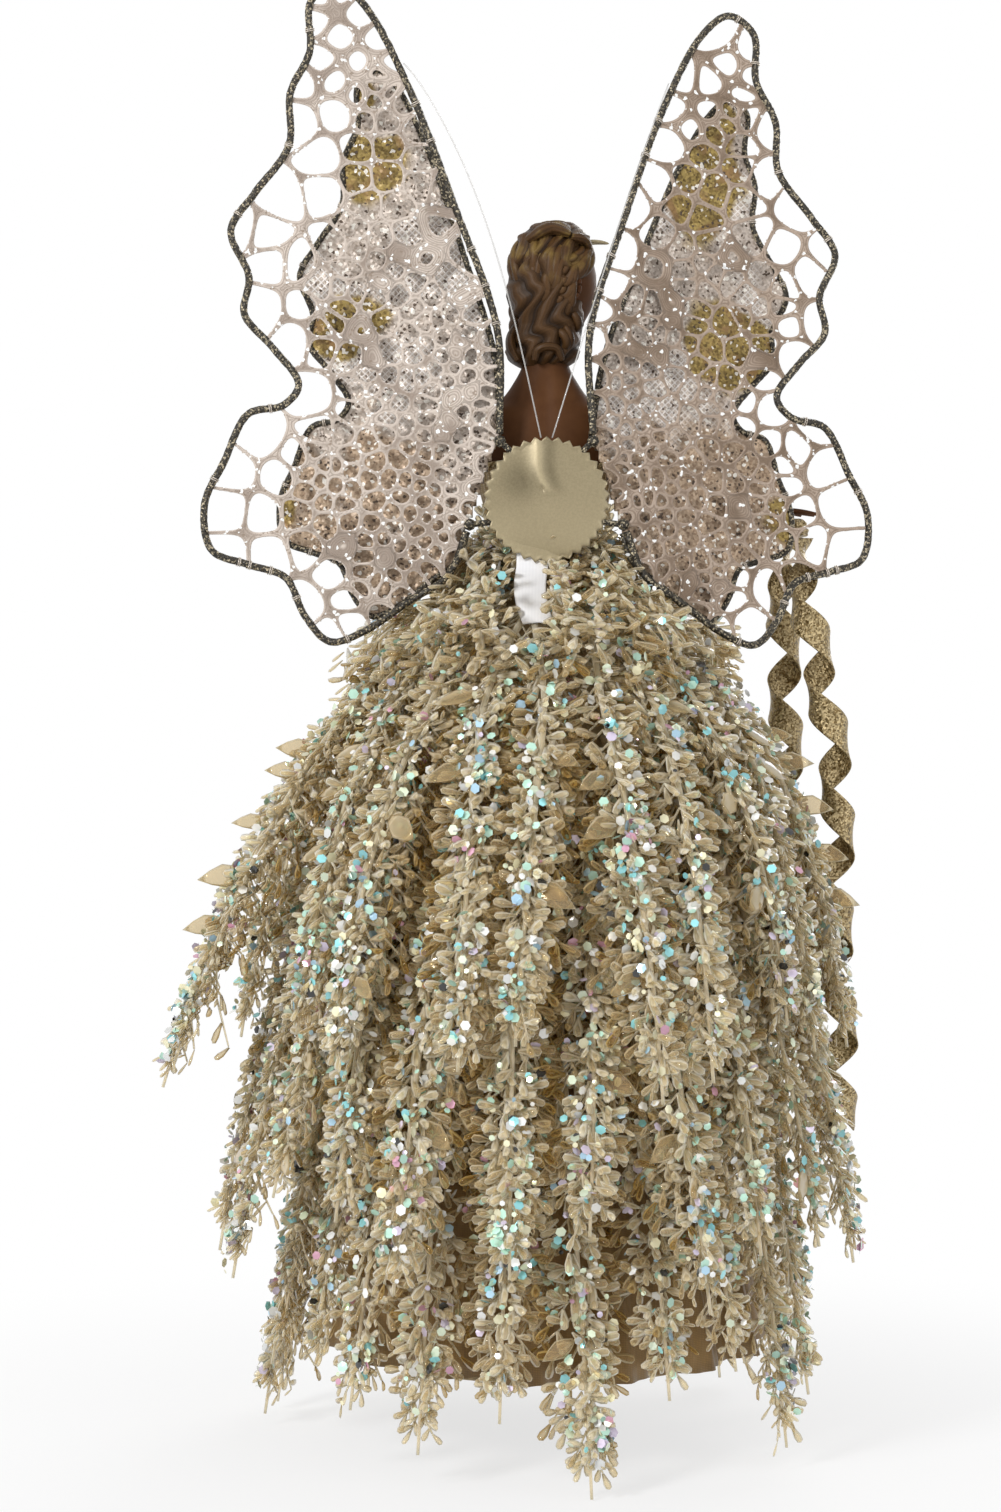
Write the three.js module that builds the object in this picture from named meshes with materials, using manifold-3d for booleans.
// Angel tree topper. A hollow cone slips over the tip of the tree. It carries an
// underskirt, three tiers of moulded sprays, a cast figure and a pair of double
// wings on wire. Millimetres, +Z up; the figure faces -Y and the photograph was
// taken from +Y. The origin is the centre of the cone's mouth.
import * as THREE from "three";
import { mergeVertices } from "three/addons/utils/BufferGeometryUtils.js";
import Module from "manifold-3d";

const wasm = await Module();
wasm.setup();

// Clearance between pieces that seat on each other
const FIT_GAP = 0.3;

// Tree cone
const CONE_HEIGHT = 246;
const CONE_MOUTH_R = 58;
const CONE_TOP_R = 13;
const CONE_WALL = 2;

// Underskirt: gathered at its top, hanging in folds at its hem
const CLOTH_THICKNESS = 1;
const HEM_Z = 2;
const HEM_FULLNESS = 8;
const FOLD_DEPTH = 4.5;
const FOLD_COUNT = 14;

// Sprays. Each tier: how far below the cone's top its stems are glued, how far
// the stems stand out before they turn down, where the tips end, how much closer
// the tips lie at the figure's right, and the turn from the back at which the
// first spray stands. The seed varies the lengths.
const SPRAYS_PER_TIER = 11;
const SPRAY_TEETH = 10;
const OUTER_TIER = {
  name: "outer",
  rootDrop: 4,
  crown: 70,
  crownDrop: 26,
  tipBeyondMouth: 47,
  fall: 148,
  closer: 7,
  width: 38,
  turn: 10,
  seed: 3351,
};
const MIDDLE_TIER = {
  name: "middle",
  rootDrop: 24,
  crown: 58,
  crownDrop: 36,
  tipBeyondMouth: 43,
  fall: 186,
  closer: 4,
  width: 34,
  turn: 0,
  seed: 24,
};
const HEM_TIER = {
  name: "hem",
  rootDrop: 50,
  crown: 40,
  crownDrop: 36,
  tipBeyondMouth: 31,
  fall: 212,
  closer: 0,
  width: 30,
  turn: 18.4,
  seed: 1714,
};
const SPRAY_RIDGE = 2.2;
const SPRAY_EDGE_DROOP = 5;
const SPRAY_TOOTH_RISE = 4;
const SPRAY_NOTCH_DEPTH = 2.5;
const SPRAY_NOTCH_SHARE = 0.4;
const SPRAY_LENGTH_CHANGE = 11;
// One outer spray at the figure's left stands out farther than the rest
const LONG_SPRAY = 3;
const LONG_SPRAY_EXTRA = 15;

// Cast figure: torso sections as height above the cone, half width, half depth
// and how far the section sits behind the axis
const TORSO = [
  { up: 0, halfWidth: 15, halfDepth: 12, back: 0 },
  { up: 13, halfWidth: 16, halfDepth: 12.2, back: 0 },
  { up: 32, halfWidth: 20.5, halfDepth: 14.2, back: -1.5 },
  { up: 46, halfWidth: 22.5, halfDepth: 12.2, back: 0 },
  { up: 53, halfWidth: 20.5, halfDepth: 10.2, back: 1 },
  { up: 57.5, halfWidth: 12.5, halfDepth: 8.8, back: 1 },
  { up: 62, halfWidth: 8.2, halfDepth: 7.6, back: 1 },
  { up: 70, halfWidth: 6.8, halfDepth: 6.8, back: 0.5 },
  { up: 84, halfWidth: 6.8, halfDepth: 6.8, back: -1 },
];
const BODICE_HEIGHT = 37;
const BODICE_THICKNESS = 1.2;
const HEAD_UP = 96;
const HEAD_HALF_WIDTH = 12.5;
const HEAD_HALF_DEPTH = 15;
const HEAD_HALF_HEIGHT = 18;
const HEAD_SIDE = -2.5;
const HEAD_TURN = 50;
const HAIR_THICKNESS = 3;

// Arms: bend points from the shoulder as steps outward, back and up
const SHOULDER_UP = 49;
const SHOULDER_OUT = 19;
const RIGHT_ARM = [
  [0, 0, 0],
  [14, -5, -8],
  [36, -14, -20],
  [54, -21, -24],
  [63, -25, -24.5],
  [69, -28, -26],
];
const LEFT_ARM = [
  [0, 0, 0],
  [13, -6, -9],
  [28, -17, -21],
  [38, -31, -19],
  [43, -38, -16],
  [47, -43, -14],
];
const ARM_RADII = [5.4, 5, 4.2, 3, 3.6, 1.6];
const HAND_FLATNESS = 0.6;

// Back of the figure: pad, wing yoke, felt patch and tag
const PATCH_UP = 24.3;
const PATCH_R = 19.3;
const PATCH_TOOTH = 1.5;
const PATCH_TEETH = 34;
const PATCH_THICKNESS = 1.5;
const PAD_R = 13;
const PAD_THICKNESS = 4;
const BEAD_R = 2;
const TAG_SIDE = 4.5;
const TAG_WIDTH = 10;
const TAG_TUCK = 6;
const TAG_REACH = 24;
const TAG_DROP = 18;
const TAG_LENGTH = 34;
const TAG_THICKNESS = 0.6;

// Wings. The outline runs from the upper bead round the tip to the lower bead,
// as steps outward and up from the middle of the hinge line.
const WIRE_R = 1.2;
const FRONT_WIRE_R = 1;
const HINGE_LEAN = 20;
const HINGE_CLEAR = 0.9;
const UPPER_BEAD_ALONG = 12.5;
const LOWER_BEAD_ALONG = -15.5;
const WING_OUTLINE = [
  [-3.5, 46.5],
  [9.7, 84.8],
  [24.6, 122.7],
  [38, 147],
  [46.5, 153.3],
  [54.5, 147.5],
  [55, 132],
  [61, 119],
  [61.5, 103],
  [72, 88],
  [79.5, 76],
  [74, 62],
  [75.5, 50.5],
  [67, 40.5],
  [58.8, 29],
  [63.5, 22.5],
  [74.5, 19.5],
  [82, 4.5],
  [88, -8.5],
  [86, -23],
  [74.5, -27.5],
  [63, -31.5],
  [57, -43.5],
  [49.3, -51.5],
  [39, -48.5],
  [24, -38.5],
  [12, -30.5],
];
const WING_SWEEP = 9;
const WING_SWEEP_AT = 90;
const FRONT_WING_WIDTH_SHARE = 0.74;
const FRONT_WING_HEIGHT_SHARE = 0.84;
const FRONT_WING_SPLAY = 0.06;
// Sideways lean of each wing's upper part, as mm outward for each mm up
const LEFT_WING_LEAN = { rear: 0, front: 0 };
const RIGHT_WING_LEAN = { rear: -0.02, front: 0.1 };
const LACE_THICKNESS = 0.8;
const LACE_PITCH = 14;
const LACE_STRAND = 2.6;
const LACE_BORDER = 2.2;
const PANEL_THICKNESS = 0.6;
const LEFT_WING_SWING = 0;
const RIGHT_WING_SWING = -22;

// Threads that tie the wings
const TIE_R = 0.25;
const TIE_UP_WING = 124;
const LEFT_TIE_BOW = { inward: 7, back: 10 };
const RIGHT_TIE_BOW = { inward: 1, back: 7 };

// Ribbons: curled strips that hang from the right hand over the sprays
const RIBBON_WIDTH = 10;
const RIBBON_THICKNESS = 0.6;
const RIBBON_CURL_R = 4.5;
const RIBBON_CURL_PITCH = 31;
const OUTER_RIBBON_STANDOFF = 6;
const INNER_RIBBON_STANDOFF = 12;
const OUTER_RIBBON_TURN = 4;
const INNER_RIBBON_TURN = 11;
const OUTER_RIBBON_DROP = 192;
const INNER_RIBBON_DROP = 140;
const OUTER_RIBBON_SPREAD = 14;
const INNER_RIBBON_SPREAD = 5;
const RIBBON_SPREAD_DEPTH = 90;
const KNOT_R = 4;

const UP = new THREE.Vector3(0, 0, 1);
const FIGURE_Z = CONE_HEIGHT + FIT_GAP;
const PATCH_Z = FIGURE_Z + PATCH_UP;

const FINISH = {
  card: { color: 0xb9a77c, roughness: 0.9, metalness: 0 },
  cloth: { color: 0x9a7a45, roughness: 0.8, metalness: 0 },
  spray: { color: 0xcdbf9b, roughness: 0.3, metalness: 0.1 },
  skin: { color: 0x74503c, roughness: 0.6, metalness: 0 },
  hair: { color: 0x3b2415, roughness: 0.55, metalness: 0 },
  gold: { color: 0xc6a664, roughness: 0.45, metalness: 0.6 },
  felt: { color: 0xcabf98, roughness: 0.95, metalness: 0 },
  satin: { color: 0xe9e8ea, roughness: 0.5, metalness: 0 },
  wire: { color: 0x4a4338, roughness: 0.5, metalness: 0.8 },
  lace: { color: 0xd9cdc2, roughness: 0.9, metalness: 0 },
  thread: { color: 0xe4e2de, roughness: 0.3, metalness: 0 },
};

function radians(degrees) {
  return (degrees * Math.PI) / 180;
}

// Repeatable number from 0 to 1 for a whole number
function noise(i) {
  const wave = Math.sin(i * 12.9898 + 4.1) * 43758.5453;
  return wave - Math.floor(wave);
}

// Closed geometry from points and triangle corners, turned to face outward
function closedGeometry(points, corners) {
  let volume = 0;
  for (let i = 0; i < corners.length; i += 3) {
    const [a, b, c] = [points[corners[i]], points[corners[i + 1]], points[corners[i + 2]]];
    volume += a.dot(b.clone().cross(c));
  }
  const facing = volume < 0 ? corners.slice().reverse() : corners;
  return new THREE.BufferGeometry().setFromPoints(points).setIndex(facing);
}

// Skin over rings of equal point count; a closed loop of rings needs no caps
function loft(rings, isLoop = false) {
  const count = rings[0].length;
  const points = rings.flat();
  const corners = [];
  const spans = isLoop ? rings.length : rings.length - 1;
  for (let k = 0; k < spans; k++) {
    const next = (k + 1) % rings.length;
    for (let j = 0; j < count; j++) {
      const side = (j + 1) % count;
      const [a, b] = [k * count + j, k * count + side];
      const [c, d] = [next * count + j, next * count + side];
      corners.push(a, b, d, a, d, c);
    }
  }
  const last = (rings.length - 1) * count;
  for (let j = 1; !isLoop && j + 1 < count; j++) {
    corners.push(0, j + 1, j);
    corners.push(last, last + j, last + j + 1);
  }
  return closedGeometry(points, corners);
}

function solid(geometry) {
  const bare = new THREE.BufferGeometry();
  bare.setAttribute("position", geometry.getAttribute("position"));
  bare.setIndex(geometry.index);
  const merged = mergeVertices(bare, 1e-4);
  const vertProperties = new Float32Array(merged.getAttribute("position").array);
  const triVerts = new Uint32Array(merged.index.array);
  return new wasm.Manifold(new wasm.Mesh({ numProp: 3, vertProperties, triVerts }));
}

function geometryOf(body) {
  const mesh = body.getMesh();
  const geometry = new THREE.BufferGeometry();
  geometry.setAttribute("position", new THREE.BufferAttribute(mesh.vertProperties, 3));
  return geometry.setIndex(new THREE.BufferAttribute(mesh.triVerts, 1));
}

function piece(name, geometry, finish) {
  geometry.deleteAttribute("normal");
  geometry.computeVertexNormals();
  const mesh = new THREE.Mesh(geometry, new THREE.MeshStandardMaterial(FINISH[finish]));
  mesh.name = name;
  return mesh;
}

// Regular polygon as a section for a wire
function wireSection(radius, sides) {
  const shape = new THREE.Shape();
  for (let i = 0; i < sides; i++) {
    const angle = (i * 2 * Math.PI) / sides;
    const [x, y] = [radius * Math.cos(angle), radius * Math.sin(angle)];
    if (i === 0) shape.moveTo(x, y);
    else shape.lineTo(x, y);
  }
  return shape;
}

function wire(points, radius, sides, steps) {
  const path = new THREE.CatmullRomCurve3(points, false, "centripetal");
  const options = { steps, extrudePath: path, bevelEnabled: false };
  return new THREE.ExtrudeGeometry(wireSection(radius, sides), options);
}

const topper = new THREE.Group();
topper.name = "angel_tree_topper";

// Tree cone
function coneRadius(z) {
  return CONE_MOUTH_R - ((CONE_MOUTH_R - CONE_TOP_R) * z) / CONE_HEIGHT;
}

function treeCone() {
  const profile = [
    [0, CONE_HEIGHT],
    [CONE_TOP_R, CONE_HEIGHT],
    [CONE_MOUTH_R, 0],
    [CONE_MOUTH_R - CONE_WALL, 0],
    [coneRadius(CONE_HEIGHT - CONE_WALL) - CONE_WALL, CONE_HEIGHT - CONE_WALL],
    [0, CONE_HEIGHT - CONE_WALL],
  ];
  const points = profile.map(([r, z]) => new THREE.Vector2(r, z)).reverse();
  return new THREE.LatheGeometry(points, 36).rotateX(Math.PI / 2);
}
topper.add(piece("tree_cone", treeCone(), "card"));

// Underskirt, as upright sections round the cone
const UNDERSKIRT_TOP_Z = CONE_HEIGHT - HEM_TIER.rootDrop - 10;

function underskirtSection(angle) {
  const levels = [0, 0.3, 0.65, 1];
  const wave = FOLD_DEPTH * Math.sin(FOLD_COUNT * angle);
  const wander = 1 + 0.3 * Math.sin(3 * angle + 1);
  const wall = (thickness) =>
    levels.map((share) => {
      const z = UNDERSKIRT_TOP_Z + (HEM_Z - UNDERSKIRT_TOP_Z) * share;
      const r = coneRadius(z) + FIT_GAP + thickness + share * (HEM_FULLNESS + wave * wander);
      return new THREE.Vector3(r * Math.sin(angle), r * Math.cos(angle), z);
    });
  return [...wall(CLOTH_THICKNESS), ...wall(0).reverse()];
}

function underskirt() {
  const count = FOLD_COUNT * 4;
  const rings = [];
  for (let i = 0; i < count; i++) {
    rings.push(underskirtSection(((i + 0.5) * 2 * Math.PI) / count));
  }
  return loft(rings, true);
}
topper.add(piece("underskirt", underskirt(), "cloth"));

// Sprays: bent blades with leaflet teeth that point to the tip
function sprayAngle(tier, index) {
  return radians(tier.turn) + (index * 2 * Math.PI) / SPRAYS_PER_TIER;
}

function sprayPath(tier, index, angle = sprayAngle(tier, index)) {
  const rootZ = CONE_HEIGHT - tier.rootDrop;
  const rootSlope = tier.crownDrop / Math.hypot(tier.crown, tier.crownDrop);
  const rootR = coneRadius(rootZ - SPRAY_RIDGE) + FIT_GAP + SPRAY_RIDGE * rootSlope;
  const change = SPRAY_LENGTH_CHANGE * (2 * noise(index * 7 + tier.seed) - 1);
  const extra = tier === OUTER_TIER && index + 1 === LONG_SPRAY ? LONG_SPRAY_EXTRA : 0;
  const closer = tier.closer * THREE.MathUtils.smoothstep(-Math.sin(angle), 0.2, 0.8);
  const tipR = CONE_MOUTH_R + tier.tipBeyondMouth + change * 0.4 + extra - closer;
  return new THREE.QuadraticBezierCurve(
    new THREE.Vector2(rootR, rootZ),
    new THREE.Vector2(rootR + tier.crown, rootZ - tier.crownDrop),
    new THREE.Vector2(tipR, rootZ - tier.fall - change),
  );
}

// Point of a spray: a share along its stem, aside round the cone's axis, and off it
function sprayPoint(path, angle, share, aside, height) {
  const at = Math.min(share, 1);
  const stem = path.getPoint(at);
  const slope = path.getTangent(at);
  const turn = angle + aside / stem.x;
  const outward = new THREE.Vector3(Math.sin(turn), Math.cos(turn), 0);
  return outward.multiplyScalar(stem.x - height * slope.y).addScaledVector(UP, stem.y + height * slope.x);
}

// Each ring has two edges and a ridge above and below. The edges droop, the ridge
// rises at each tooth, and the notches between lie deeper: every tooth is a rib.
function spray(tier, index) {
  const angle = sprayAngle(tier, index);
  const path = sprayPath(tier, index);
  const stations = SPRAY_TEETH * 2;
  const rings = [];
  for (let k = 0; k <= stations; k++) {
    const share = k / stations;
    const isTooth = k % 2 === 1;
    const bell = Math.min(1, 0.3 + 3 * share) * (1 - 0.9 * Math.max(0, share / 0.25 - 3) ** 2);
    const room = (path.getPoint(share).x * Math.PI) / SPRAYS_PER_TIER - FIT_GAP * 2;
    const full = Math.min(tier.width / 2, room) * bell;
    const halfWidth = Math.max(0.6, isTooth ? full : full * SPRAY_NOTCH_SHARE);
    const relief = bell * Math.min(1, 4 * share);
    const notch = isTooth ? 0 : SPRAY_NOTCH_DEPTH * relief;
    const rise = isTooth ? SPRAY_TOOTH_RISE * relief : 0;
    const droop = SPRAY_EDGE_DROOP * (halfWidth / (tier.width / 2)) ** 2 + notch;
    const forward = share + (isTooth ? 0.55 / stations : 0);
    const ridge = SPRAY_RIDGE * (1 - 0.75 * share);
    rings.push([
      sprayPoint(path, angle, forward, halfWidth, -droop),
      sprayPoint(path, angle, forward, 0, ridge + rise),
      sprayPoint(path, angle, forward, -halfWidth, -droop),
      sprayPoint(path, angle, share, 0, -ridge - notch),
    ]);
  }
  return loft(rings);
}
for (const tier of [OUTER_TIER, MIDDLE_TIER, HEM_TIER]) {
  for (let i = 0; i < SPRAYS_PER_TIER; i++) {
    const number = String(i + 1).padStart(2, "0");
    topper.add(piece(`spray_${tier.name}_${number}`, spray(tier, i), "spray"));
  }
}

// Radius of the outer tier's stems at the figure's right, at a height, carried on
// straight below the tips
function outerStemRadius(z) {
  const path = sprayPath(OUTER_TIER, 0, -Math.PI / 2);
  const flat = path.getPoints(60).find((point) => point.y <= z);
  return flat ? flat.x : path.getPoint(1).x;
}

// Cast figure
function torsoRings(grow) {
  return TORSO.map((section) => torsoRing(section, grow));
}

function torsoRing(section, grow) {
  const sides = 16;
  const ring = [];
  for (let i = 0; i < sides; i++) {
    const angle = (i * 2 * Math.PI) / sides;
    const x = (section.halfWidth + grow) * Math.sin(angle);
    const y = section.back + (section.halfDepth + grow) * Math.cos(angle);
    ring.push(new THREE.Vector3(x, y, FIGURE_Z + section.up));
  }
  return ring;
}

// Head as a stretched ball with jaw, nose, brow and chin, facing -Y before its turn
function headGeometry(grow) {
  const ball = new THREE.SphereGeometry(1, 20, 14).rotateX(Math.PI / 2);
  const points = ball.getAttribute("position");
  for (let i = 0; i < points.count; i++) {
    const [x, y, z] = [points.getX(i), points.getY(i), points.getZ(i)];
    const jaw = 1 - 0.28 * Math.max(0, -z) ** 1.5;
    const front = Math.max(0, -y);
    const nose = 2.5 * front * Math.exp(-((x / 0.18) ** 2) - ((z + 0.22) / 0.2) ** 2);
    const chin = 2.4 * front * Math.exp(-((x / 0.3) ** 2) - ((z + 0.75) / 0.22) ** 2);
    points.setXYZ(
      i,
      x * jaw * (HEAD_HALF_WIDTH + grow),
      y * (HEAD_HALF_DEPTH + grow) - nose - chin,
      z * (HEAD_HALF_HEIGHT + grow),
    );
  }
  return toHeadPlace(ball);
}

function toHeadPlace(geometry) {
  geometry.rotateZ(-radians(HEAD_TURN));
  return geometry.translate(HEAD_SIDE, TORSO[TORSO.length - 1].back, FIGURE_Z + HEAD_UP);
}

const bust = solid(loft(torsoRings(0))).add(solid(headGeometry(0)));
const bustClearance = solid(loft(torsoRings(FIT_GAP))).add(solid(headGeometry(FIT_GAP)));
topper.add(piece("bust", geometryOf(bust), "skin"));

// Hair: a waved cap open at the face, with curls at the nape and over one ear
function hairCap() {
  const cap = new THREE.SphereGeometry(1, 22, 14).rotateX(Math.PI / 2);
  const points = cap.getAttribute("position");
  for (let i = 0; i < points.count; i++) {
    const [x, y, z] = [points.getX(i), points.getY(i), points.getZ(i)];
    const around = Math.atan2(x, y);
    const wave = 1 + 0.035 * Math.sin(9 * around + 5 * z);
    points.setXYZ(
      i,
      x * wave * (HEAD_HALF_WIDTH + HAIR_THICKNESS),
      y * wave * (HEAD_HALF_DEPTH + HAIR_THICKNESS) + 1.5,
      z * (HEAD_HALF_HEIGHT + HAIR_THICKNESS) + 1.2,
    );
  }
  return solid(toHeadPlace(cap));
}

function curl(radius, side, back, up) {
  const ball = new THREE.SphereGeometry(radius, 10, 7);
  ball.scale(1, 0.8, 1.2);
  return solid(toHeadPlace(ball.translate(side, back, up)));
}

function hair() {
  const faceCutter = new THREE.SphereGeometry(1, 16, 12);
  faceCutter.scale(HEAD_HALF_WIDTH * 0.92, HEAD_HALF_DEPTH, HEAD_HALF_HEIGHT * 0.95);
  faceCutter.translate(0, -HEAD_HALF_DEPTH * 0.95, -HEAD_HALF_HEIGHT * 0.25);
  const nape = -HEAD_HALF_HEIGHT;
  const body = hairCap()
    .add(curl(7, 4, HEAD_HALF_DEPTH * 0.62, nape * 0.95))
    .add(curl(6, -5, HEAD_HALF_DEPTH * 0.6, nape * 1.1))
    .add(curl(5.5, 1, HEAD_HALF_DEPTH * 0.72, nape * 1.45))
    .add(curl(5.5, HEAD_HALF_WIDTH, HEAD_HALF_DEPTH * 0.25, nape * 0.35));
  return body.subtract(solid(toHeadPlace(faceCutter))).subtract(bustClearance);
}
const hairBody = hair();
topper.add(piece("hair", geometryOf(hairBody), "hair"));

// Hair pin, a small leaf that stands off the right side of the hair
function hairPin() {
  const length = 9;
  const reach = HEAD_HALF_WIDTH + HAIR_THICKNESS;
  const rings = [0, 0.5, 1].map((share) => {
    const half = 1.5 * (1 - 0.5 * share);
    const x = HEAD_SIDE - reach * 0.6 - length * share;
    const z = FIGURE_Z + HEAD_UP + HEAD_HALF_HEIGHT * 0.78;
    const y = -8;
    return [
      new THREE.Vector3(x, y - half, z),
      new THREE.Vector3(x, y, z + 0.8),
      new THREE.Vector3(x, y + half, z),
      new THREE.Vector3(x, y, z - 0.8),
    ];
  });
  return solid(loft(rings));
}

// A copy of a body pushed out along the X, Y and Z axes, for cutting clearance
function grown(body, gap) {
  let result = body;
  for (const step of [gap, -gap]) {
    result = result.add(body.translate([step, 0, 0]));
    result = result.add(body.translate([0, step, 0]));
    result = result.add(body.translate([0, 0, step]));
  }
  return result;
}
const pinBody = hairPin().subtract(grown(hairBody, FIT_GAP)).subtract(bustClearance);
topper.add(piece("hair_pin", geometryOf(pinBody), "gold"));

// Arms, cut clear of the torso at the shoulder
function armPoint([out, back, up], side) {
  return new THREE.Vector3(side * (SHOULDER_OUT + out), back, FIGURE_Z + SHOULDER_UP + up);
}

function arm(bends, side) {
  const path = new THREE.CatmullRomCurve3(bends.map((bend) => armPoint(bend, side)));
  const steps = 12;
  const sides = 8;
  const rings = [];
  for (let k = 0; k <= steps; k++) {
    const share = k / steps;
    const along = share * (ARM_RADII.length - 1);
    const low = Math.min(Math.floor(along), ARM_RADII.length - 2);
    const radius = ARM_RADII[low] + (ARM_RADII[low + 1] - ARM_RADII[low]) * (along - low);
    const flat = share > 0.7 ? HAND_FLATNESS : 1;
    const ahead = path.getTangent(share);
    const level = new THREE.Vector3().crossVectors(ahead, UP).normalize();
    const upright = new THREE.Vector3().crossVectors(level, ahead);
    const ring = [];
    for (let i = 0; i < sides; i++) {
      const angle = (i * 2 * Math.PI) / sides;
      const point = path.getPoint(share).addScaledVector(level, radius * Math.cos(angle));
      ring.push(point.addScaledVector(upright, radius * flat * Math.sin(angle)));
    }
    rings.push(ring);
  }
  return solid(loft(rings)).subtract(bustClearance);
}
const rightArm = arm(RIGHT_ARM, -1);
topper.add(piece("left_arm", geometryOf(arm(LEFT_ARM, 1)), "skin"));
topper.add(piece("right_arm", geometryOf(rightArm), "skin"));

// Bodice: a sleeve round the torso, as upright sections
function bodice() {
  const below = TORSO.map((section) => section.up).filter((up) => up < BODICE_HEIGHT);
  const heights = [...below, BODICE_HEIGHT];
  const wall = (grow) => heights.map((up) => torsoRing(torsoAt(up), grow));
  const outer = wall(FIT_GAP + BODICE_THICKNESS);
  const inner = wall(FIT_GAP).reverse();
  const rings = outer[0].map((_, i) => [...outer, ...inner].map((ring) => ring[i]));
  return loft(rings, true);
}

function torsoAt(up) {
  const above = Math.max(1, TORSO.findIndex((section) => section.up >= up));
  const [low, high] = [TORSO[above - 1], TORSO[above]];
  const share = (up - low.up) / (high.up - low.up);
  const mix = (key) => low[key] + (high[key] - low[key]) * share;
  return { up, halfWidth: mix("halfWidth"), halfDepth: mix("halfDepth"), back: mix("back") };
}
topper.add(piece("bodice", bodice(), "gold"));

// Pad, yoke and patch stand one behind the other on the figure's back
function backSurface() {
  let surface = 0;
  for (let up = PATCH_UP - PAD_R; up <= PATCH_UP + PAD_R; up += 0.5) {
    const section = torsoAt(up);
    const cover = up <= BODICE_HEIGHT + 0.5 ? FIT_GAP + BODICE_THICKNESS : 0;
    surface = Math.max(surface, section.back + section.halfDepth + cover);
  }
  return surface;
}
const PAD_FRONT_Y = backSurface() + FIT_GAP;
const PAD_BACK_Y = PAD_FRONT_Y + PAD_THICKNESS;
const WING_Y = PAD_BACK_Y + FIT_GAP + WIRE_R;
const PATCH_FRONT_Y = WING_Y + WIRE_R + FIT_GAP;

function pad() {
  const disc = new THREE.CylinderGeometry(PAD_R, PAD_R, PAD_THICKNESS, 24);
  return disc.translate(0, PAD_FRONT_Y + PAD_THICKNESS / 2, PATCH_Z);
}
topper.add(piece("wing_pad", pad(), "card"));

// Hinge line of the left wing: it leans inward at its top and passes just
// outside the patch, so that the wing can swing back beside it
const hingeUp = new THREE.Vector3(-Math.sin(radians(HINGE_LEAN)), 0, Math.cos(radians(HINGE_LEAN)));
const hingeOut = new THREE.Vector3(hingeUp.z, 0, -hingeUp.x);
const hingeMiddle = new THREE.Vector3(0, WING_Y, PATCH_Z);
hingeMiddle.addScaledVector(hingeOut, PATCH_R + HINGE_CLEAR);
const upperBead = hingeMiddle.clone().addScaledVector(hingeUp, UPPER_BEAD_ALONG);
const lowerBead = hingeMiddle.clone().addScaledVector(hingeUp, LOWER_BEAD_ALONG);

function mirrored(point) {
  return new THREE.Vector3(-point.x, point.y, point.z);
}

function rod(from, to, radius) {
  return solid(wire([from, to], radius, 6, 1));
}

function yoke() {
  const plate = new THREE.BoxGeometry(10, WIRE_R * 2, 18).translate(0, WING_Y, PATCH_Z);
  let body = solid(plate);
  for (const bead of [upperBead, lowerBead]) {
    const middle = new THREE.Vector3(0, WING_Y, PATCH_Z + (bead.z > PATCH_Z ? 5 : -5));
    for (const end of [bead, mirrored(bead)]) {
      const ball = new THREE.SphereGeometry(BEAD_R, 8, 6).translate(end.x, end.y, end.z);
      body = body.add(rod(middle, end, WIRE_R * 0.9)).add(solid(ball));
    }
  }
  return body;
}
topper.add(piece("wing_yoke", geometryOf(yoke()), "wire"));

// Upright outline in X and Z made into a sheet of a thickness, centred on y = 0
function uprightSheet(shape, thickness) {
  const sheet = new THREE.ExtrudeGeometry(shape, { depth: thickness, bevelEnabled: false });
  return sheet.rotateX(Math.PI / 2).translate(0, thickness / 2, 0);
}

function patch() {
  const corners = [];
  for (let i = 0; i < PATCH_TEETH * 2; i++) {
    const angle = (i * Math.PI) / PATCH_TEETH;
    const radius = i % 2 === 0 ? PATCH_R : PATCH_R - PATCH_TOOTH;
    corners.push(new THREE.Vector2(radius * Math.cos(angle), radius * Math.sin(angle)));
  }
  const disc = uprightSheet(new THREE.Shape(corners), PATCH_THICKNESS);
  return disc.translate(0, PATCH_FRONT_Y + PATCH_THICKNESS / 2, PATCH_Z);
}
topper.add(piece("back_patch", patch(), "felt"));

// Flat strip along a path: a ring of four corners at each step
function stripRing(centre, across, through, width, thickness) {
  const corner = (w, t) =>
    centre
      .clone()
      .addScaledVector(across, (w * width) / 2)
      .addScaledVector(through, (t * thickness) / 2);
  return [corner(1, 1), corner(1, -1), corner(-1, -1), corner(-1, 1)];
}

// Tag: tucked under the patch, then lying out over the sprays
function tag() {
  const y = PATCH_FRONT_Y - FIT_GAP - TAG_THICKNESS / 2;
  const rimZ = PATCH_Z - PATCH_R;
  const path = new THREE.CatmullRomCurve3([
    new THREE.Vector3(TAG_SIDE, y, rimZ + TAG_TUCK),
    new THREE.Vector3(TAG_SIDE, y + 0.4, rimZ - 1),
    new THREE.Vector3(TAG_SIDE + 0.5, y + TAG_REACH * 0.25, rimZ - TAG_DROP * 0.39),
    new THREE.Vector3(TAG_SIDE + 1, y + TAG_REACH * 0.58, rimZ - TAG_DROP * 0.67),
    new THREE.Vector3(TAG_SIDE - 1, y + TAG_REACH, rimZ - TAG_DROP),
  ]);
  const share = Math.min(1, TAG_LENGTH / path.getLength());
  const across = new THREE.Vector3(1, 0, 0);
  const rings = [];
  for (let k = 0; k <= 8; k++) {
    const at = (k / 8) * share;
    const through = new THREE.Vector3().crossVectors(path.getTangentAt(at), across).normalize();
    rings.push(stripRing(path.getPointAt(at), across, through, TAG_WIDTH, TAG_THICKNESS));
  }
  return loft(rings);
}
topper.add(piece("blank_tag", tag(), "satin"));

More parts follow.
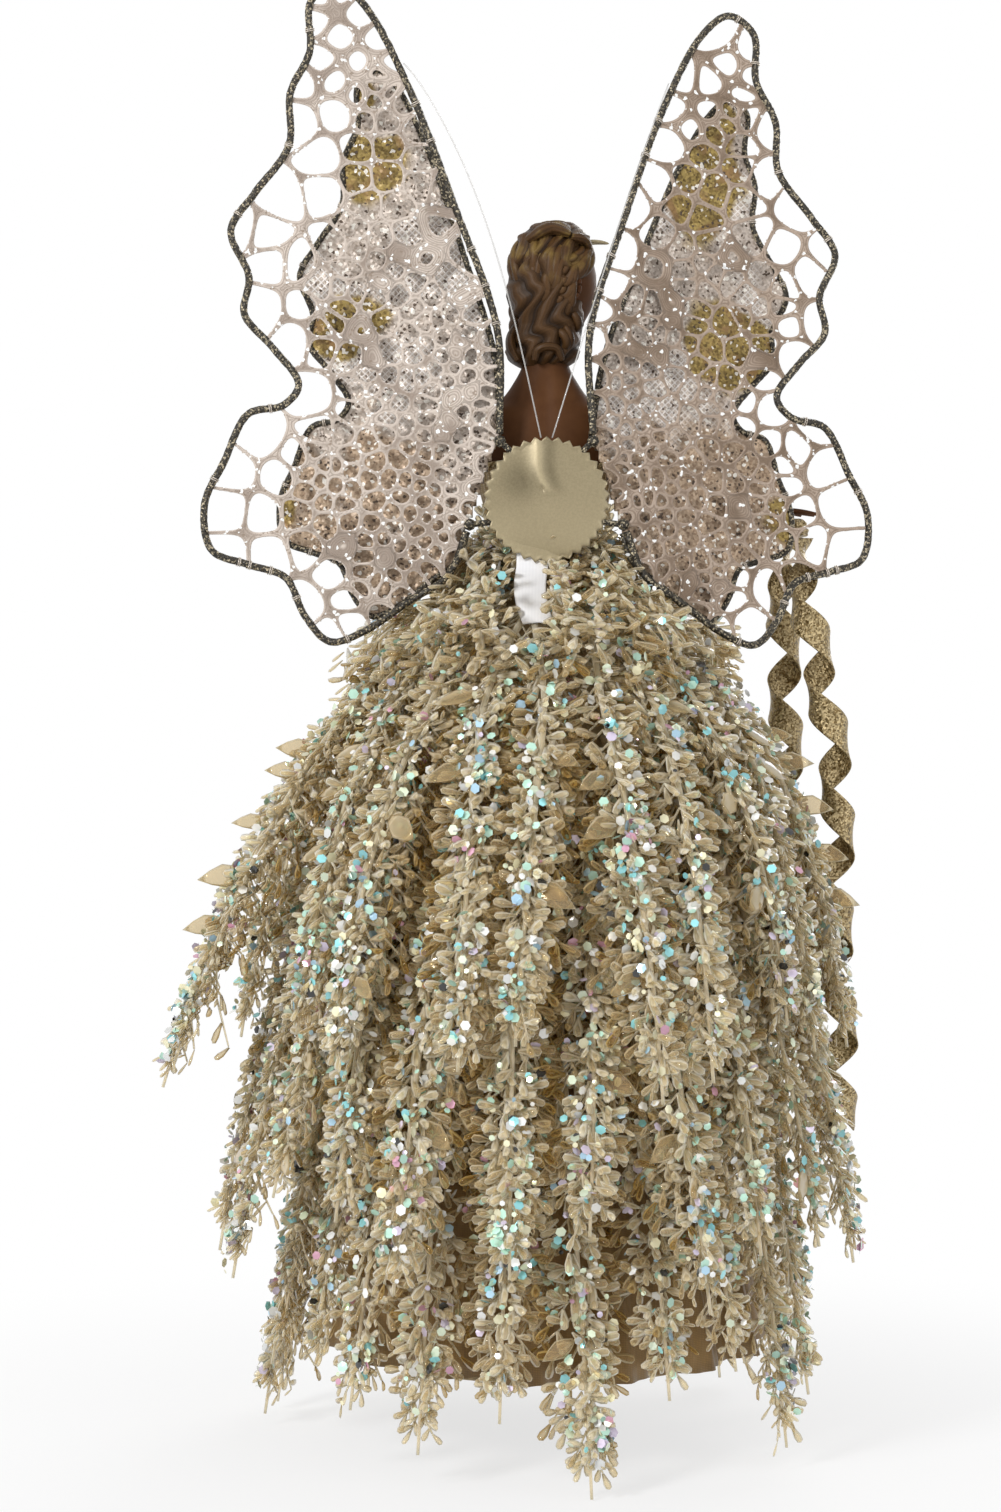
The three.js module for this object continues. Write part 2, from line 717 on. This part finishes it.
// Distance of a step outward and up from the hinge line, in the wing's plane
function hingeDistance(out, up) {
  return out * hingeOut.x + up * hingeOut.z;
}

function wingBend(out, up) {
  return WING_SWEEP * (hingeDistance(out, up) / WING_SWEEP_AT) ** 2;
}

// Flat curve of a wing wire from bead to bead, for a share of the outline's size
// and a lean of its upper part
function wingCurve(widthShare, heightShare, lean) {
  const flat = WING_OUTLINE.map(([out, up]) => {
    const height = up * heightShare;
    return new THREE.Vector3(out * widthShare + lean * Math.max(0, height), height, 0);
  });
  const beadEnd = (bead, toward) => {
    const centre = new THREE.Vector3(bead.x - hingeMiddle.x, bead.z - hingeMiddle.z, 0);
    const aim = toward.clone().sub(centre).normalize();
    return centre.addScaledVector(aim, BEAD_R + FIT_GAP);
  };
  const [first, last] = [flat[0], flat[flat.length - 1]];
  const points = [beadEnd(upperBead, first), ...flat, beadEnd(lowerBead, last)];
  return new THREE.CatmullRomCurve3(points, false, "centripetal");
}

// Points along a flat curve, each with its inward direction, lengthened at bends
// so that lines drawn at one distance inside the curve stay parallel to it
function mitred(curve, count) {
  const points = curve.getSpacedPoints(count).map((point) => new THREE.Vector2(point.x, point.y));
  const inwardOf = (from, to) => {
    const ahead = to.clone().sub(from).normalize();
    return new THREE.Vector2(ahead.y, -ahead.x);
  };
  return points.map((point, i) => {
    const before = inwardOf(points[Math.max(0, i - 1)], points[Math.max(1, i)]);
    const after = inwardOf(points[Math.min(i, count - 1)], points[Math.min(i + 1, count)]);
    const middle = before.clone().add(after).normalize();
    return { point, inward: middle.divideScalar(Math.max(0.6, middle.dot(before))) };
  });
}

// Wing layer: its wire, its flat path, and how its plane lies before the bend
function rearLayer(lean) {
  return { path: mitred(wingCurve(1, 1, lean), 78), radius: WIRE_R, forward: 0, splay: 0 };
}

function frontLayer(lean) {
  return {
    path: mitred(wingCurve(FRONT_WING_WIDTH_SHARE, FRONT_WING_HEIGHT_SHARE, lean), 62),
    radius: FRONT_WIRE_R,
    forward: WIRE_R + FIT_GAP + FRONT_WIRE_R,
    splay: FRONT_WING_SPLAY,
  };
}

function toWing(layer, out, up, y = 0) {
  const splay = layer.splay * Math.max(0, hingeDistance(out, up));
  return new THREE.Vector3(
    hingeMiddle.x + out,
    WING_Y - layer.forward - splay + wingBend(out, up) + y,
    hingeMiddle.z + up,
  );
}

function wingFrame(layer) {
  const sides = 5;
  const rings = layer.path.map(({ point, inward }) => {
    const ring = [];
    for (let i = 0; i < sides; i++) {
      const angle = (i * 2 * Math.PI) / sides;
      const place = point.clone().addScaledVector(inward, layer.radius * Math.sin(angle));
      ring.push(toWing(layer, place.x, place.y, layer.radius * Math.cos(angle)));
    }
    return ring;
  });
  return loft(rings);
}

// Outline just inside the wire, cut off near the hinge line
function insideOutline(layer) {
  const inset = layer.radius + FIT_GAP;
  const outline = layer.path.map(({ point, inward }) => point.clone().addScaledVector(inward, inset));
  return outline.filter(({ x, y }) => hingeDistance(x, y) > BEAD_R + FIT_GAP * 3);
}

// Distance from a point to an outline, negative outside it
function edgeDistance(point, outline) {
  let nearest = Infinity;
  let isInside = false;
  for (let i = 0; i < outline.length; i++) {
    const [a, b] = [outline[i], outline[(i + 1) % outline.length]];
    const side = b.clone().sub(a);
    const share = point.clone().sub(a).dot(side) / side.lengthSq();
    const foot = a.clone().addScaledVector(side, Math.min(1, Math.max(0, share)));
    nearest = Math.min(nearest, foot.distanceTo(point));
    const isCrossing = a.y > point.y !== b.y > point.y;
    if (isCrossing && point.x < a.x + (side.x * (point.y - a.y)) / side.y) isInside = !isInside;
  }
  return isInside ? nearest : -nearest;
}

// Middles of the lace's gaps, on a jittered triangular grid
function laceSites(outline) {
  const box = new THREE.Box2().setFromPoints(outline);
  const rowStep = LACE_PITCH * 0.87;
  const sites = [];
  for (let row = 0; box.min.y + row * rowStep < box.max.y; row++) {
    for (let column = 0; box.min.x + column * LACE_PITCH < box.max.x; column++) {
      const seed = row * 40 + column;
      const jitter = new THREE.Vector2(noise(seed) - 0.5, noise(seed + 500) - 0.5);
      const site = new THREE.Vector2(
        box.min.x + (column + (row % 2) / 2) * LACE_PITCH,
        box.min.y + (row + 0.4) * rowStep,
      ).addScaledVector(jitter, LACE_PITCH * 0.45);
      if (edgeDistance(site, outline) > LACE_PITCH * 0.36) sites.push(site);
    }
  }
  return sites;
}

// What is left of a cell on its own side of the strand between two middles
function cutCell(cell, site, other) {
  const toward = other.clone().sub(site).normalize();
  const limit = site.distanceTo(other) / 2 - LACE_STRAND / 2;
  const depth = (point) => limit - point.clone().sub(site).dot(toward);
  const kept = [];
  cell.forEach((point, i) => {
    const next = cell[(i + 1) % cell.length];
    const [here, there] = [depth(point), depth(next)];
    if (here >= 0) kept.push(point);
    if (here >= 0 !== there >= 0) kept.push(point.clone().lerp(next, here / (here - there)));
  });
  return kept;
}

function laceGap(site, sites, outline) {
  let cell = [];
  for (let i = 0; i < 10; i++) {
    const angle = (i * Math.PI) / 5;
    const reach = LACE_PITCH * 0.6;
    cell.push(new THREE.Vector2(reach * Math.cos(angle), reach * Math.sin(angle)).add(site));
  }
  for (const other of sites) {
    if (other !== site) cell = cutCell(cell, site, other);
  }
  for (const point of cell) {
    for (let pull = 0; pull < 20 && edgeDistance(point, outline) < LACE_BORDER; pull++) {
      point.lerp(site, 0.12);
    }
  }
  return cell.filter((point, i) => point.distanceTo(cell[(i + 1) % cell.length]) > 1.3);
}

function bentSheet(layer, shape, thickness) {
  const sheet = uprightSheet(shape, thickness);
  const points = sheet.getAttribute("position");
  for (let i = 0; i < points.count; i++) {
    const place = toWing(layer, points.getX(i), points.getZ(i), points.getY(i));
    points.setXYZ(i, place.x, place.y, place.z);
  }
  return sheet;
}

function lacePattern(layer) {
  const outline = insideOutline(layer);
  const pattern = new THREE.Shape(outline);
  const middles = laceSites(outline);
  for (const site of middles) {
    const gap = laceGap(site, middles, outline);
    if (gap.length > 3) pattern.holes.push(new THREE.Path(gap));
  }
  console.log("gaps in the lace net:", pattern.holes.length);
  return pattern;
}

// One wing: the left one as drawn, the right one mirrored; both turn on the hinge line
function wing(side, swing, lean) {
  const word = side > 0 ? "left" : "right";
  const rear = rearLayer(lean.rear);
  const front = frontLayer(lean.front);
  const panel = new THREE.Shape(insideOutline(front));
  const inner = new THREE.Group();
  inner.add(piece(`rear_wing_frame_${word}`, wingFrame(rear), "wire"));
  inner.add(piece(`rear_wing_lace_${word}`, bentSheet(rear, lacePattern(rear), LACE_THICKNESS), "lace"));
  inner.add(piece(`front_wing_frame_${word}`, wingFrame(front), "wire"));
  inner.add(piece(`front_wing_panel_${word}`, bentSheet(front, panel, PANEL_THICKNESS), "gold"));
  inner.position.copy(hingeMiddle).negate();
  const hinge = new THREE.Group();
  hinge.add(inner);
  hinge.position.copy(hingeMiddle);
  hinge.quaternion.setFromAxisAngle(hingeUp, radians(swing));
  const half = new THREE.Group();
  half.name = `${word}_wing`;
  half.add(hinge);
  half.scale.x = side;
  half.updateMatrixWorld(true);
  topper.add(half);
  return { rear, toPlace: (point) => point.applyMatrix4(inner.matrixWorld) };
}
const leftWing = wing(1, LEFT_WING_SWING, LEFT_WING_LEAN);
const rightWing = wing(-1, RIGHT_WING_SWING, RIGHT_WING_LEAN);

// Tie: a thread from a wing's inner wire to the top of the patch
function tie(side, { rear, toPlace }, bow) {
  const { point, inward } = rear.path.find(({ point }) => point.y > TIE_UP_WING);
  const place = point.clone().addScaledVector(inward, -WIRE_R - FIT_GAP - TIE_R);
  const wingEnd = toPlace(toWing(rear, place.x, place.y));
  const tooth = Math.PI / 2 - Math.PI / PATCH_TEETH;
  const backEnd = new THREE.Vector3(
    side * PATCH_R * Math.cos(tooth),
    PATCH_FRONT_Y + PATCH_THICKNESS / 2,
    PATCH_Z + PATCH_R * Math.sin(tooth) + FIT_GAP,
  );
  const hang = new THREE.Vector3(-side * bow.inward, bow.back, 0);
  const points = [];
  for (let k = 0; k <= 8; k++) {
    const along = k / 8;
    const sag = Math.sin(Math.PI * along ** 0.75);
    points.push(wingEnd.clone().lerp(backEnd, along).addScaledVector(hang, sag));
  }
  return wire(points, TIE_R, 8, 16);
}
topper.add(piece("wing_tie_left", tie(1, leftWing, LEFT_TIE_BOW), "thread"));
topper.add(piece("wing_tie_right", tie(-1, rightWing, RIGHT_TIE_BOW), "thread"));

// Ribbon knot under the right palm, and the two curled tails that hang from it
const palm = armPoint(RIGHT_ARM[4], -1);
const KNOT_HEIGHT = KNOT_R * 1.6;
const knotBottom = palm.clone();
knotBottom.z -= ARM_RADII[4] * HAND_FLATNESS + FIT_GAP + KNOT_HEIGHT;
const knotTurn = Math.atan2(palm.x, palm.y);

function outwardAt(turn) {
  return new THREE.Vector3(Math.sin(turn), Math.cos(turn), 0);
}

function sidewaysAt(turn) {
  return new THREE.Vector3(Math.cos(turn), -Math.sin(turn), 0);
}

function knot() {
  const bar = new THREE.CylinderGeometry(KNOT_R * 0.8, KNOT_R, KNOT_HEIGHT, 12);
  bar.rotateX(Math.PI / 2).scale(2.1, 1.2, 1).rotateZ(-knotTurn);
  bar.translate(knotBottom.x, knotBottom.y, knotBottom.z + KNOT_HEIGHT / 2);
  return solid(bar).subtract(grown(rightArm, FIT_GAP));
}
topper.add(piece("ribbon_knot", geometryOf(knot()), "gold"));

// Middle of the hanging ribbon at a depth below the knot, before its curl: it
// spreads outward, follows the outer stems down, stands off them and drifts
// toward the front
function ribbonAxis(depth, { sideStep, standoff, drift, outward }) {
  const z = knotBottom.z - FIT_GAP - depth;
  const turn = knotTurn - radians(drift) * (depth / OUTER_RIBBON_DROP);
  const swing = outward * THREE.MathUtils.smoothstep(depth, 0, RIBBON_SPREAD_DEPTH);
  const start = Math.hypot(knotBottom.x, knotBottom.y) + swing;
  const radius = Math.max(start, outerStemRadius(z) + standoff);
  const spread = sideStep * (1 + 0.35 * Math.min(1, depth / RIBBON_CURL_PITCH));
  const axis = outwardAt(turn).multiplyScalar(radius).addScaledVector(sidewaysAt(turn), spread);
  return axis.addScaledVector(UP, z);
}

function ribbon(drop, lie) {
  const steps = Math.round(drop / 4);
  const softened = [];
  for (let k = 0; k <= 12; k++) softened.push(ribbonAxis((k * drop) / 12, lie));
  const axis = new THREE.CatmullRomCurve3(softened);
  const centres = [];
  const radials = [];
  for (let k = 0; k <= steps; k++) {
    const depth = (k * drop) / steps;
    const curl = RIBBON_CURL_R * Math.min(1, depth / 24);
    const angle = (depth * 2 * Math.PI) / RIBBON_CURL_PITCH;
    const radial = sidewaysAt(knotTurn).multiplyScalar(Math.cos(angle));
    radial.addScaledVector(outwardAt(knotTurn), Math.sin(angle));
    radials.push(radial);
    centres.push(axis.getPoint(k / steps).addScaledVector(radial, curl));
  }
  const rings = centres.map((centre, k) => {
    const ahead = centres[Math.min(k + 1, steps)].clone().sub(centres[Math.max(k - 1, 0)]);
    if (k === 0) ahead.set(0, 0, -1);
    const across = new THREE.Vector3().crossVectors(ahead, radials[k]).normalize();
    const through = new THREE.Vector3().crossVectors(across, ahead).normalize();
    return stripRing(centre, across, through, RIBBON_WIDTH, RIBBON_THICKNESS);
  });
  let gap = Infinity;
  const turnSteps = Math.round((RIBBON_CURL_PITCH / drop) * steps * 0.75);
  centres.forEach((centre, k) => {
    const later = centres.slice(k + turnSteps);
    for (const other of later) gap = Math.min(gap, centre.distanceTo(other) - RIBBON_WIDTH);
  });
  console.log("least gap of the ribbon to itself:", gap.toFixed(1), "mm");
  return loft(rings);
}
const outerLie = {
  sideStep: KNOT_R * 1.45,
  standoff: OUTER_RIBBON_STANDOFF,
  drift: OUTER_RIBBON_TURN,
  outward: OUTER_RIBBON_SPREAD,
};
const innerLie = {
  sideStep: -KNOT_R * 1.45,
  standoff: INNER_RIBBON_STANDOFF,
  drift: INNER_RIBBON_TURN,
  outward: INNER_RIBBON_SPREAD,
};
topper.add(piece("ribbon_outer", ribbon(OUTER_RIBBON_DROP, outerLie), "gold"));
topper.add(piece("ribbon_inner", ribbon(INNER_RIBBON_DROP, innerLie), "gold"));

export default topper;
